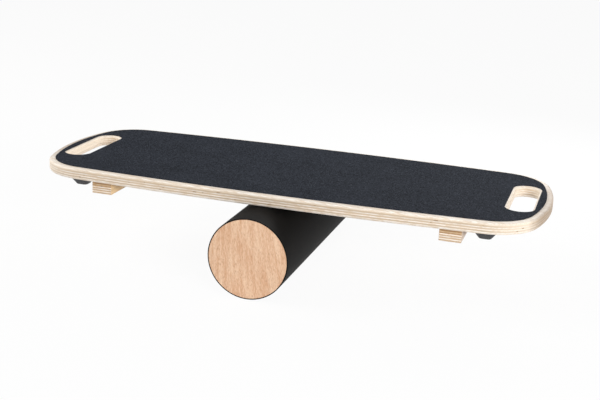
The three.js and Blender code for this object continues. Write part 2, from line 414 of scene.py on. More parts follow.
    def edge_shares(
        self, tree: NodeTree, axes: Node, facing: Node, crossed: NodeSocket
    ) -> dict[str, NodeSocket]:
        """Tell edges from faces, end grain from side grain, and the sheet's ends from the rest.

        Args:
            tree: The material's node tree.
            axes: The place as X, Y and Z.
            facing: The surface's normal as X, Y and Z.
            crossed: 1 in a ply whose fibres run along Y, else 0.

        Returns:
            The share of edge, the shares of end grain and of painted side light and shade in it, and the
            share of sheet end.
        """
        across_x = add_node(tree, "ShaderNodeMath", {0: facing.outputs["X"]}, operation="ABSOLUTE")
        along = add_node(tree, "ShaderNodeMath", {0: axes.outputs["X"]}, operation="ABSOLUTE")
        run = (self.ends_from, self.ends_from + self.end_run_mm * MM)
        outer = add_node(tree, "ShaderNodeMapRange", {"Value": along.outputs[0], **limits("From", run)})
        strength = add_node(
            tree,
            "ShaderNodeMapRange",
            {"Value": outer.outputs[0], **limits("To", (self.long_side_contrast, 1.0))},
        )
        across_y = add_node(tree, "ShaderNodeMath", {0: facing.outputs["Y"]}, operation="ABSOLUTE")
        upright = add_node(tree, "ShaderNodeMath", {0: facing.outputs["Z"]}, operation="ABSOLUTE")
        softer = add_node(
            tree, "ShaderNodeMath", {0: across_x.outputs[0], 1: strength.outputs[0]}, operation="MULTIPLY"
        )
        faint = add_node(
            tree, "ShaderNodeMath", {0: softer.outputs[0], 1: self.uncrossed_share}, operation="MULTIPLY"
        )
        round_the_edge = add_node(
            tree, "ShaderNodeMath", {0: softer.outputs[0], 1: across_y.outputs[0]}, operation="ADD"
        )
        end = add_node(
            tree, "ShaderNodeMix", {"Factor": crossed, "A": faint.outputs[0], "B": round_the_edge.outputs[0]}
        )
        edge = add_node(
            tree, "ShaderNodeMapRange", {"Value": upright.outputs[0], **limits("From", self.face_cosines)}
        )
        # the painted side light and shade fades out towards the sheet's ends
        kept = add_node(
            tree,
            "ShaderNodeMapRange",
            {"Value": outer.outputs[0], **limits("To", (self.painted_side_lighting_share, 0.0))},
        )
        side_lighting_share = add_node(
            tree, "ShaderNodeMath", {0: across_x.outputs[0], 1: kept.outputs[0]}, operation="MULTIPLY"
        )
        shares = {"end": end.outputs["Result"], "edge": edge.outputs[0]}
        return shares | {"side_lighting_share": side_lighting_share.outputs[0], "outer": outer.outputs[0]}

    def fibres(self, tree: NodeTree, place: Node, crossed: NodeSocket, ply: NodeSocket) -> NodeSocket:
        """Draw the fibres of each ply along X or along Y, turned a little as in a peeled veneer.

        Args:
            tree: The material's node tree.
            place: Its texture coordinates.
            crossed: 1 in a ply whose fibres run along Y, else 0.
            ply: The ply's number.

        Returns:
            The pattern, from 0 to 1.
        """
        long, fine = (1 / (size * MM) for size in self.fibre_mm)
        patterns = []
        for scale in ((long, fine, fine), (fine, long, fine)):
            turned = add_node(
                tree,
                "ShaderNodeMapping",
                {"Vector": place.outputs["Object"], "Rotation": (0, 0, self.fibre_turn)},
            )
            scaled = add_node(tree, "ShaderNodeMapping", {"Vector": turned.outputs[0], "Scale": scale})
            own = add_node(tree, "ShaderNodeMath", {0: ply, 1: self.fibre_step}, operation="MULTIPLY")
            patterns.append(
                add_node(
                    tree,
                    "ShaderNodeTexNoise",
                    {
                        "Vector": scaled.outputs[0],
                        "W": own.outputs[0],
                        "Scale": 1.0,
                        "Detail": 3.0,
                        "Roughness": 0.55,
                        "Distortion": 0.3,
                    },
                    noise_dimensions="4D",
                )
            )
        chosen = add_node(
            tree,
            "ShaderNodeMix",
            {"Factor": crossed, "A": patterns[0].outputs["Fac"], "B": patterns[1].outputs["Fac"]},
        )
        return chosen.outputs["Result"]

    def ply_shade(self, tree: NodeTree, place: Node, ply: NodeSocket) -> NodeSocket:
        """Give each ply a brightness of its own that drifts slowly along the sheet.

        Args:
            tree: The material's node tree.
            place: Its texture coordinates.
            ply: The ply's number.

        Returns:
            The brightness, about 1.
        """
        tone = add_node(tree, "ShaderNodeTexWhiteNoise", {"W": ply}, noise_dimensions="1D")
        own = add_node(tree, "ShaderNodeMath", {0: ply, 1: self.shade_step}, operation="MULTIPLY")
        drift = add_node(
            tree,
            "ShaderNodeTexNoise",
            {
                "Vector": place.outputs["Object"],
                "W": own.outputs[0],
                "Scale": 1 / (self.shade_run_mm * MM),
                "Detail": 2.0,
            },
            noise_dimensions="4D",
        )
        spread = add_node(
            tree,
            "ShaderNodeMath",
            {0: tone.outputs["Value"], 1: self.shade_spread, 2: drift.outputs["Fac"]},
            operation="MULTIPLY_ADD",
        )
        brightness = add_node(
            tree,
            "ShaderNodeMapRange",
            {
                "Value": spread.outputs[0],
                **limits("From", self.shade_level),
                **limits("To", self.shade_range),
            },
        )
        return brightness.outputs[0]

    def gaps(self, tree: NodeTree, place: Node, ply: NodeSocket, end: NodeSocket) -> NodeSocket:
        """Leave a short dark gap here and there where two strips of a cross veneer don't meet.

        Args:
            tree: The material's node tree.
            place: Its texture coordinates.
            ply: The ply's number.
            end: The share of end grain.

        Returns:
            The share of gap.
        """
        own = add_node(tree, "ShaderNodeMath", {0: ply, 1: self.gap_step}, operation="MULTIPLY")
        runs = add_node(
            tree,
            "ShaderNodeTexNoise",
            {
                "Vector": place.outputs["Object"],
                "W": own.outputs[0],
                "Scale": 1 / (self.gap_run_mm * MM),
                "Detail": 0.0,
            },
            noise_dimensions="4D",
        )
        rare = add_node(
            tree,
            "ShaderNodeMapRange",
            {"Value": runs.outputs["Fac"], **limits("From", self.gap_level), "To Max": self.gap_share},
        )
        shown = add_node(tree, "ShaderNodeMath", {0: rare.outputs[0], 1: end}, operation="MULTIPLY")
        return shown.outputs[0]


@dataclass(frozen=True)
class AbrasiveSheet:
    """Grip tape: silicon carbide grit in black resin on a backing sheet, dark and cold, with a few painted
    glints on the grit.
    """

    name: str = "silicon carbide grip tape"
    resin: str = "#0b0d10"
    grit: str = "#40444d"
    painted_glint: str = "#6a707a"
    grit_mm: float = 1.1  # real grit is 0.3 mm: this is as coarse as it takes to show
    grain_spread: float = 0.8  # how much one grain differs from the next
    grain_base: float = -0.08
    blotch_mm: float = 70.0
    blotch_share: float = 0.3
    painted_glint_level: tuple[float, float] = (0.96, 0.99)  # the share of grains without a painted glint
    painted_glint_share: float = 0.5
    gloss_level: float = 0.04  # the grit shades itself, so little of the gloss gets out
    roughness: float = 0.95
    relief_mm: float = 0.3
    relief_strength: float = 0.5

    def material(self) -> Material:
        """Build the material.

        Returns:
            The material, with every pattern on Object coordinates.
        """
        material, tree, shader = new_material(
            self.name, IOR=1.5, Roughness=self.roughness, Specular_IOR_Level=self.gloss_level
        )
        place = add_node(tree, "ShaderNodeTexCoord")
        grains = add_node(
            tree,
            "ShaderNodeTexVoronoi",
            {"Vector": place.outputs["Object"], "Scale": 1 / (self.grit_mm * MM)},
        )
        own = add_node(tree, "ShaderNodeSeparateColor", {0: grains.outputs["Color"]})
        blotch = add_node(
            tree,
            "ShaderNodeTexNoise",
            {"Vector": place.outputs["Object"], "Scale": 1 / (self.blotch_mm * MM), "Detail": 3.0},
        )
        share = add_node(
            tree,
            "ShaderNodeMath",
            {0: own.outputs[0], 1: self.grain_spread, 2: self.grain_base},
            operation="MULTIPLY_ADD",
        )
        lifted = add_node(
            tree,
            "ShaderNodeMath",
            {0: blotch.outputs["Fac"], 1: self.blotch_share, 2: share.outputs[0]},
            operation="MULTIPLY_ADD",
        )
        body = add_node(
            tree,
            "ShaderNodeMix",
            {"Factor": lifted.outputs[0], "A": linear(self.resin), "B": linear(self.grit)},
            data_type="RGBA",
        )
        # painted glints: a few grains are lightened as if they caught the light
        sparse = add_node(
            tree,
            "ShaderNodeMapRange",
            {"Value": own.outputs[1], **limits("From", self.painted_glint_level), "To Max": self.painted_glint_share},
        )
        colour = add_node(
            tree,
            "ShaderNodeMix",
            {"Factor": sparse.outputs[0], "A": body.outputs["Result"], "B": linear(self.painted_glint)},
            data_type="RGBA",
        )
        tree.links.new(colour.outputs["Result"], shader.inputs["Base Color"])
        bump = add_node(
            tree,
            "ShaderNodeBump",
            {
                "Strength": self.relief_strength,
                "Distance": self.relief_mm * MM,
                "Height": grains.outputs["Distance"],
            },
            invert=True,
        )
        tree.links.new(bump.outputs[0], shader.inputs["Normal"])
        return material


@dataclass(frozen=True)
class MouldedRubber:
    """Rubber pressed in a mould or drawn as a sleeve: matt, nearly black, with a fine pebbled skin."""

    name: str
    colour: str
    bloom: str  # the greyish cast where the skin is dry
    roughness: float
    pebble_mm: float
    gloss_level: float = 0.5
    bloom_scale: float = 30.0  # patches about 33 mm across
    bloom_level: tuple[float, float] = (0.12, 0.42)
    relief_mm: float = 0.15
    relief_strength: float = 0.35

    def material(self) -> Material:
        """Build the material.

        Returns:
            The material, with every pattern on Object coordinates.
        """
        material, tree, shader = new_material(
            self.name, IOR=1.5, Roughness=self.roughness, Specular_IOR_Level=self.gloss_level
        )
        place = add_node(tree, "ShaderNodeTexCoord")
        cast = add_node(
            tree,
            "ShaderNodeTexNoise",
            {"Vector": place.outputs["Object"], "Scale": self.bloom_scale, "Detail": 4.0, "Roughness": 0.6},
        )
        pebbles = add_node(
            tree,
            "ShaderNodeTexNoise",
            {"Vector": place.outputs["Object"], "Scale": 1 / (self.pebble_mm * MM), "Detail": 2.0},
        )
        share = add_node(
            tree, "ShaderNodeMath", {0: cast.outputs["Fac"], 1: pebbles.outputs["Fac"]}, operation="MULTIPLY"
        )
        spread = add_node(
            tree, "ShaderNodeMapRange", {"Value": share.outputs[0], **limits("From", self.bloom_level)}
        )
        colour = add_node(
            tree,
            "ShaderNodeMix",
            {"Factor": spread.outputs[0], "A": linear(self.colour), "B": linear(self.bloom)},
            data_type="RGBA",
        )
        tree.links.new(colour.outputs["Result"], shader.inputs["Base Color"])
        bump = add_node(
            tree,
            "ShaderNodeBump",
            {
                "Strength": self.relief_strength,
                "Distance": self.relief_mm * MM,
                "Height": pebbles.outputs["Fac"],
            },
        )
        tree.links.new(bump.outputs[0], shader.inputs["Normal"])
        return material


@dataclass(frozen=True)
class PlatedSteel:
    """Cold-headed steel with bright zinc plating: a grey metal, slightly cloudy, with fine drawing marks."""

    name: str = "zinc-plated steel"
    colour: str = "#c3c6ca"
    cloud: str = "#a4a8ad"
    cloud_mm: float = 3.0
    roughness: tuple[float, float] = (0.24, 0.46)

    def material(self) -> Material:
        """Build the material.

        Returns:
            The material, with every pattern on Object coordinates.
        """
        material, tree, shader = new_material(self.name, Metallic=1.0)
        place = add_node(tree, "ShaderNodeTexCoord")
        clouds = add_node(
            tree,
            "ShaderNodeTexNoise",
            {"Vector": place.outputs["Object"], "Scale": 1 / (self.cloud_mm * MM), "Detail": 5.0},
        )
        colour = add_node(
            tree,
            "ShaderNodeMix",
            {"Factor": clouds.outputs["Fac"], "A": linear(self.colour), "B": linear(self.cloud)},
            data_type="RGBA",
        )
        tree.links.new(colour.outputs["Result"], shader.inputs["Base Color"])
        roughness = add_node(
            tree, "ShaderNodeMapRange", {"Value": clouds.outputs["Fac"], **limits("To", self.roughness)}
        )
        tree.links.new(roughness.outputs[0], shader.inputs["Roughness"])
        return material


@dataclass(frozen=True)
class ExtrudedPipe:
    """Rigid PVC pipe, extruded: plain grey with faint lines along its length."""

    name: str = "extruded grey PVC"
    colour: str = "#8d9296"
    line: str = "#7d8286"
    line_mm: float = 2.0
    line_run_mm: float = 500.0
    roughness: float = 0.42

    def material(self) -> Material:
        """Build the material.

        Returns:
            The material, with every pattern on Object coordinates.
        """
        material, tree, shader = new_material(self.name, IOR=1.53, Roughness=self.roughness)
        place = add_node(tree, "ShaderNodeTexCoord")
        across, along = (1 / (size * MM) for size in (self.line_mm, self.line_run_mm))
        stretch = add_node(
            tree, "ShaderNodeMapping", {"Vector": place.outputs["Object"], "Scale": (across, along, across)}
        )
        lines = add_node(
            tree, "ShaderNodeTexNoise", {"Vector": stretch.outputs[0], "Scale": 1.0, "Detail": 3.0}
        )
        colour = add_node(
            tree,
            "ShaderNodeMix",
            {"Factor": lines.outputs["Fac"], "A": linear(self.colour), "B": linear(self.line)},
            data_type="RGBA",
        )
        tree.links.new(colour.outputs["Result"], shader.inputs["Base Color"])
        return material


@dataclass(frozen=True)
class PlanedBeech:
    """European beech, planed and sanded: pinkish tan, faint columns of tone and short brown ray flecks."""

    centre: tuple[float, float, float]
    name: str = "planed European beech"
    pale: str = "#f0cfb0"
    tan: str = "#d6a682"
    fleck: str = "#ad7a5c"
    lean: float = math.tan(math.radians(6))
    fan: float = 2.2  # how much more the grain leans for each metre to the right
    column_mm: tuple[float, float] = (4.5, 60.0)
    stroke_mm: tuple[float, float] = (1.2, 7.0)
    tone_level: tuple[float, float] = (0.75, 1.25)
    fleck_mm: tuple[float, float] = (0.8, 3.5)  # real flecks are half as wide
    fleck_level: tuple[float, float] = (0.53, 0.72)
    fleck_share: float = 0.55
    roughness: tuple[float, float] = (0.5, 0.66)
    relief_mm: float = 0.1
    relief_strength: float = 0.15

    def material(self) -> Material:
        """Build the material.

        Returns:
            The material, with every pattern on Object coordinates and the grain close to upright.
        """
        material, tree, shader = new_material(self.name, IOR=1.5, Specular_IOR_Level=0.3)
        place = add_node(tree, "ShaderNodeTexCoord")
        to_centre = tuple(-value for value in self.centre)
        centred = add_node(
            tree, "ShaderNodeMapping", {"Vector": place.outputs["Object"], "Location": to_centre}
        )
        axes = add_node(tree, "ShaderNodeSeparateXYZ", {0: centred.outputs[0]})
        lean = add_node(
            tree,
            "ShaderNodeMath",
            {0: axes.outputs["X"], 1: self.fan, 2: self.lean},
            operation="MULTIPLY_ADD",
        )
        across = add_node(
            tree,
            "ShaderNodeMath",
            {0: axes.outputs["Z"], 1: lean.outputs[0], 2: axes.outputs["X"]},
            operation="MULTIPLY_ADD",
        )
        leaning = add_node(
            tree,
            "ShaderNodeCombineXYZ",
            {"X": across.outputs[0], "Y": axes.outputs["Y"], "Z": axes.outputs["Z"]},
        )
        columns, strokes, flecks = (
            self.streaks(tree, leaning.outputs[0], size)
            for size in (self.column_mm, self.stroke_mm, self.fleck_mm)
        )
        mixed = add_node(tree, "ShaderNodeMath", {0: columns, 1: strokes}, operation="ADD")
        share = add_node(
            tree, "ShaderNodeMapRange", {"Value": mixed.outputs[0], **limits("From", self.tone_level)}
        )
        body = add_node(
            tree,
            "ShaderNodeMix",
            {"Factor": share.outputs[0], "A": linear(self.pale), "B": linear(self.tan)},
            data_type="RGBA",
        )
        flecked = add_node(
            tree,
            "ShaderNodeMapRange",
            {"Value": flecks, **limits("From", self.fleck_level), "To Max": self.fleck_share},
        )
        colour = add_node(
            tree,
            "ShaderNodeMix",
            {"Factor": flecked.outputs[0], "A": body.outputs["Result"], "B": linear(self.fleck)},
            data_type="RGBA",
        )
        tree.links.new(colour.outputs["Result"], shader.inputs["Base Color"])
        roughness = add_node(tree, "ShaderNodeMapRange", {"Value": strokes, **limits("To", self.roughness)})
        tree.links.new(roughness.outputs[0], shader.inputs["Roughness"])
        bump = add_node(
            tree,
            "ShaderNodeBump",
            {"Strength": self.relief_strength, "Distance": self.relief_mm * MM, "Height": strokes},
        )
        tree.links.new(bump.outputs[0], shader.inputs["Normal"])
        return material

    def streaks(self, tree: NodeTree, place: NodeSocket, size_mm: tuple[float, float]) -> NodeSocket:
        """Draw streaks along Z.

        Args:
            tree: The material's node tree.
            place: The place, in metres.
            size_mm: A streak's width and length.

        Returns:
            The pattern, from 0 to 1.
        """
        across, along = (1 / (size * MM) for size in size_mm)
        scaled = add_node(tree, "ShaderNodeMapping", {"Vector": place, "Scale": (across, across, along)})
        noise = add_node(
            tree,
            "ShaderNodeTexNoise",
            {"Vector": scaled.outputs[0], "Scale": 1.0, "Detail": 2.0, "Roughness": 0.5, "Distortion": 0.4},
        )
        return noise.outputs["Fac"]


def finished_piece(
    bm: BMesh,
    name: str,
    material: Material,
    body: str,
    nodes: tuple[str, ...],
    crease: float = math.radians(40),
) -> Object:
    """Turn a bmesh into a finished piece that rides on a body and stands for its CAD nodes.

    Args:
        bm: The shape, in place. It is freed.
        name: The piece's name.
        material: Its one material.
        body: The CAD body that it rides on.
        nodes: The CAD nodes that it stands for.
        crease: Edges sharper than this angle stay sharp.

    Returns:
        The new object, at the origin.
    """
    bmesh.ops.remove_doubles(bm, verts=bm.verts[:], dist=WELD)
    bmesh.ops.recalc_face_normals(bm, faces=bm.faces[:])
    mesh = bpy.data.meshes.new(name)
    bm.to_mesh(mesh)
    bm.free()
    mesh.materials.append(material)
    mesh.shade_smooth()
    mesh.set_sharp_from_angle(angle=crease)
    piece = bpy.data.objects.new(name, mesh)
    bpy.context.scene.collection.objects.link(piece)
    even = piece.modifiers.new("even shading", "WEIGHTED_NORMAL")
    even.keep_sharp = True
    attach(piece, body)
    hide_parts(*nodes)
    log.info("%s: %d faces, on %s, stands for %s", name, len(mesh.polygons), body, ", ".join(nodes))
    return piece


def spun(bm: BMesh, profile: list[tuple[float, float]], centre: Vector, axis: Vector, steps: int) -> None:
    """Turn a profile a full round.

    Args:
        bm: Where the shape is made.
        profile: Points as radius and place along the axis, measured from the centre.
        centre: A point on the axis.
        axis: The axis, +Y or +Z.
        steps: How many steps make the round.
    """
    outward = Vector((1, 0, 0))
    chain = [bm.verts.new(centre + outward * radius + axis * place) for radius, place in profile]
    edges = [bm.edges.new(pair) for pair in zip(chain, chain[1:])]
    bmesh.ops.spin(
        bm,
        geom=chain + edges,
        cent=centre,
        axis=axis,
        dvec=(0, 0, 0),
        angle=TURN,
        steps=steps,
        use_merge=True,
        use_duplicate=False,
    )
    bmesh.ops.remove_doubles(bm, verts=bm.verts[:], dist=WELD)


def soften(bm: BMesh, edges: list[BMEdge], width: float, segments: int) -> None:
    """Round edges over.

    Args:
        bm: The shape.
        edges: The edges to round.
        width: How far the round runs on each side.
        segments: How many faces make the round.
    """
    bmesh.ops.bevel(
        bm,
        geom=edges,
        offset=width,
        offset_type="OFFSET",
        segments=segments,
        profile=0.5,
        affect="EDGES",
        clamp_overlap=True,
        material=-1,
    )


def only(kind: type, items: list) -> list:
    """Give the items of one kind."""
    return [item for item in items if isinstance(item, kind)]


def extruded(bm: BMesh, edges: list[BMEdge]) -> tuple[list[BMVert], list[BMEdge]]:
    """Extrude a loop of edges in place.

    Args:
        bm: The shape.
        edges: The loop.

    Returns:
        The new vertices and the new loop.
    """
    made = bmesh.ops.extrude_edge_only(bm, edges=edges)["geom"]
    verts = only(BMVert, made)
    return verts, [edge for edge in only(BMEdge, made) if set(edge.verts) <= set(verts)]


def next_ring(bm: BMesh, edges: list[BMEdge], centre: Vector, radius: float, height: float) -> list[BMEdge]:
    """Extrude a round loop of edges to another radius and height.

    Args:
        bm: The shape.
        edges: The loop, round a vertical axis.
        centre: A point on the axis.
        radius: The new radius.
        height: The new height.

    Returns:
        The new loop.
    """
    verts, ring = extruded(bm, edges)
    for vert in verts:
        flat = Vector((vert.co.x - centre.x, vert.co.y - centre.y)).normalized() * radius
        vert.co = (centre.x + flat.x, centre.y + flat.y, height)
    return ring


def round_loop(bm: BMesh, centre: Vector, radius: float, steps: int) -> list[BMEdge]:
    """Draw a circle that faces up.

    Args:
        bm: Where it is drawn.
        centre: Its centre.
        radius: Its radius.
        steps: How many edges it has.

    Returns:
        Its edges.
    """
    place = Matrix.Translation(centre)
    verts = bmesh.ops.create_circle(bm, cap_ends=False, segments=steps, radius=radius, matrix=place)["verts"]
    return list({edge for vert in verts for edge in vert.link_edges})


def ring_edges(bm: BMesh, centre: Vector, axis: Vector, radius: float) -> list[BMEdge]:
    """Find the edges of one ring of a turned shape.

    Args:
        bm: The shape.
        centre: The ring's centre.
        axis: Its axis.
        radius: Its radius.

    Returns:
        Its edges.
    """

    def on_ring(vert: BMVert) -> bool:
        """Tell whether a vertex is on the ring."""
        offset = vert.co - centre
        along = offset.dot(axis)
        return abs(along) < ON_RING and abs((offset - axis * along).length - radius) < ON_RING

    return [edge for edge in bm.edges if all(on_ring(vert) for vert in edge.verts)]


def mirror_quarter(bm: BMesh, before: set[BMEdge]) -> None:
    """Mirror a new quarter outline in X and in Y about the origin.

    Args:
        bm: Where it lies.
        before: The edges that were there before it.
    """
    for axis in ("X", "Y"):
        edges = [edge for edge in bm.edges if edge not in before]
        verts = list({vert for edge in edges for vert in edge.verts})
        bmesh.ops.mirror(bm, geom=verts + edges, matrix=Matrix.Identity(4), merge_dist=WELD, axis=axis)


def rounded_rectangle(
    bm: BMesh, centre: Vector, half_x: float, half_y: float, corner: float, steps: int
) -> list[BMEdge]:
    """Draw a rectangle with round corners that faces up: a quarter, mirrored twice.

    Args:
        bm: Where it is drawn.
        centre: Its centre.
        half_x: Half its size along X.
        half_y: Half its size along Y.
        corner: The radius of its corners, at most half_x.
        steps: How many edges make each corner.

    Returns:
        Its edges.
    """
    before = set(bm.edges)
    start = bm.verts.new((half_x, 0, centre.z))
    shoulder = bm.verts.new((half_x, half_y - corner, centre.z))
    bm.edges.new((start, shoulder))
    turned = bmesh.ops.spin(
        bm,
        geom=[shoulder],
        cent=(half_x - corner, half_y - corner, centre.z),
        axis=UP,
        dvec=(0, 0, 0),
        angle=TURN / 4,
        steps=steps,
    )
    if corner < half_x:
        tip = only(BMVert, turned["geom_last"])[0]
        bm.edges.new((tip, bm.verts.new((0, half_y, centre.z))))
    mirror_quarter(bm, before)
    edges = [edge for edge in bm.edges if edge not in before]
    verts = list({vert for edge in edges for vert in edge.verts})
    bmesh.ops.translate(bm, verts=verts, vec=(centre.x, centre.y, 0))
    return edges


@dataclass(frozen=True)
class DeckOutline:
    """The deck's plan: bowed ends and sides that meet the corner arcs in tangents."""

    length: float = 0.750
    width: float = 0.295
    corner: float = 0.073
    end_bow: float = 0.0085
    side_bow: float = 0.010
    end_steps: int = 12
    corner_steps: int = 26
    side_steps: int = 26

    def trace(self, bm: BMesh, inset: float, height: float) -> list[BMEdge]:
        """Draw the outline: a quarter from three turned arcs, mirrored twice.

        Args:
            bm: Where it is drawn.
            inset: How far inside the deck's own outline.
            height: Its height.

        Returns:
            Its edges.
        """
        before = set(bm.edges)
        corner_x = self.length / 2 - self.end_bow - self.corner
        corner_y = self.width / 2 - self.side_bow - self.corner
        end_radius = (corner_y**2 + self.end_bow**2) / (2 * self.end_bow)
        side_radius = (corner_x**2 + self.side_bow**2) / (2 * self.side_bow)
        end_angle = math.asin(corner_y / end_radius)
        side_angle = math.asin(corner_x / side_radius)
        end_centre = (self.length / 2 - self.corner - end_radius, 0, height)
        side_centre = (0, self.width / 2 - self.corner - side_radius, height)
        arcs = (
            (end_centre, end_angle, self.end_steps),
            ((corner_x, corner_y, height), TURN / 4 - side_angle - end_angle, self.corner_steps),
            (side_centre, side_angle, self.side_steps),
        )
        tip = bm.verts.new((self.length / 2 - inset, 0, height))
        for centre, angle, steps in arcs:
            turned = bmesh.ops.spin(
                bm, geom=[tip], cent=centre, axis=UP, dvec=(0, 0, 0), angle=angle, steps=steps
            )
            tip = only(BMVert, turned["geom_last"])[0]
        mirror_quarter(bm, before)
        return [edge for edge in bm.edges if edge not in before]


@dataclass(frozen=True)
class HandSlot:
    """One hand slot through the deck, with round ends."""

    width: float = 0.035
    length: float = 0.136
    centre_from_end: float = 0.040
    end_steps: int = 14

    def trace(self, bm: BMesh, side: Side, deck: DeckOutline, margin: float, height: float) -> list[BMEdge]:
        """Draw the slot's outline.

        Args:
            bm: Where it is drawn.
            side: The end of the deck that it is near.
            deck: The deck that it is cut in.
            margin: How far outside the slot's own wall.
            height: Its height.

        Returns:
            Its edges.
        """
        radius = self.width / 2 + margin
        straight = (self.length - self.width) / 2
        centre = Vector((side.value * (deck.length / 2 - self.centre_from_end), 0, height))
        return rounded_rectangle(bm, centre, radius, straight + radius, radius, self.end_steps)


@dataclass(frozen=True)
class Bore:
    """A round hole up into a plate: rings as radius and height above the plate's underside."""

    x: float
    y: float
    rings: tuple[tuple[float, float], ...]
    through: bool = False


@dataclass
class Plate:
    """A flat plate with a softened rim, from its closed rim loops drawn at the underside."""

    rim: list[BMEdge]
    underside: float
    thickness: float
    rim_round: float
    band: float  # flat width of the quads that the round is cut from
    rim_segments: int = 5
    bores: tuple[Bore, ...] = ()
    bore_steps: int = 32

    def build(self, bm: BMesh) -> None:
        """Raise the walls, sink the bores, close both faces and round the rims.

        Args:
            bm: Where the rim loops lie.
        """
        mouths, ceilings = [], []
        for bore in self.bores:
            loop = round_loop(bm, Vector((bore.x, bore.y, self.underside)), bore.rings[0][0], self.bore_steps)
            mouths += loop
            for radius, height in bore.rings[1:]:
                loop = next_ring(bm, loop, Vector((bore.x, bore.y, 0)), radius, self.underside + height)
            if bore.through:
                ceilings += loop
            else:
                bmesh.ops.edgeloop_fill(bm, edges=loop)
        top_verts, top_rim = extruded(bm, self.rim)
        bmesh.ops.translate(bm, verts=top_verts, vec=(0, 0, self.thickness))
        for rim, holes in ((self.rim, mouths), (top_rim, ceilings)):
            filled = bmesh.ops.triangle_fill(bm, edges=rim + holes, use_beauty=True)["geom"]
            bmesh.ops.recalc_face_normals(bm, faces=bm.faces[:])
            bmesh.ops.inset_region(
                bm,
                faces=only(BMFace, filled),
                thickness=self.band,
                depth=0,
                use_boundary=True,
                use_even_offset=True,
            )
        soften(bm, self.rim + top_rim, self.rim_round, self.rim_segments)


@dataclass
class Deck:
    """The plywood board and the abrasive sheet on it."""

    outline: DeckOutline = field(default_factory=DeckOutline)
    slot: HandSlot = field(default_factory=HandSlot)
    thickness: float = 0.0165
    edge_round: float = 0.003
    edge_band: float = 0.004
    inner_ply: float = 0.00172
    inner_plies: int = 5
    pilot_radius: float = 0.0023
    pilot_depth: float = 0.0115
    grip_thickness: float = 0.0013
    grip_inset: float = 0.009
    grip_round: float = 0.0003
    grip_band: float = 0.0012
    # how far in from each end the painted end shade reaches
    shaded_end_length: float = 0.022

    def __post_init__(self) -> None:
        """Read the heights of the board's faces from the frame."""
        self.underside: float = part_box("deck_board")[0].z
        self.top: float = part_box("deck_board")[1].z

    def plywood(self) -> Plywood:
        """Give the board's plywood."""
        return Plywood(
            name="sanded birch plywood",
            underside=self.underside,
            face_ply=(self.thickness - self.inner_ply * self.inner_plies) / 2,
            inner_ply=self.inner_ply,
            inner_plies=self.inner_plies,
            side_grain="#f8f0e6",
            end_grain="#cfb9a0",
            line="#d9bf9f",
            glue="#a08262",
            long_side_contrast=0.45,
            # painted light on faces that look along X, such as the slot walls
            painted_side_lighting="#fff3e2",
            painted_side_lighting_share=0.65,
            soak_share=0.75,
            ends_from=self.outline.length / 2 - self.shaded_end_length,
            # painted shade: the board darkens and greys towards its ends
            painted_end_shade="#d6d1cd",
        )

    def build_board(self, pilots: list[tuple[float, float]]) -> None:
        """Build the board.

        Args:
            pilots: Where screws enter its underside.
        """
        bm = bmesh.new()
        rim = self.outline.trace(bm, 0, self.underside)
        for side in Side:
            rim += self.slot.trace(bm, side, self.outline, 0, self.underside)
        rings = ((self.pilot_radius, 0), (self.pilot_radius, self.pilot_depth))
        bores = tuple(Bore(x, y, rings) for x, y in pilots)
        Plate(rim, self.underside, self.thickness, self.edge_round, self.edge_band, bores=bores).build(bm)
        finished_piece(bm, "board", self.plywood().material(), "deck", ("deck_board",))

    def build_grip(self) -> None:
        """Build the abrasive sheet, which lies on the board."""
        bm = bmesh.new()
        rim = self.outline.trace(bm, self.grip_inset, self.top)
        for side in Side:
            rim += self.slot.trace(bm, side, self.outline, self.edge_round, self.top)
        Plate(rim, self.top, self.grip_thickness, self.grip_round, self.grip_band, rim_segments=2).build(bm)
        finished_piece(bm, "grip", AbrasiveSheet().material(), "deck", ("grip_sheet",))


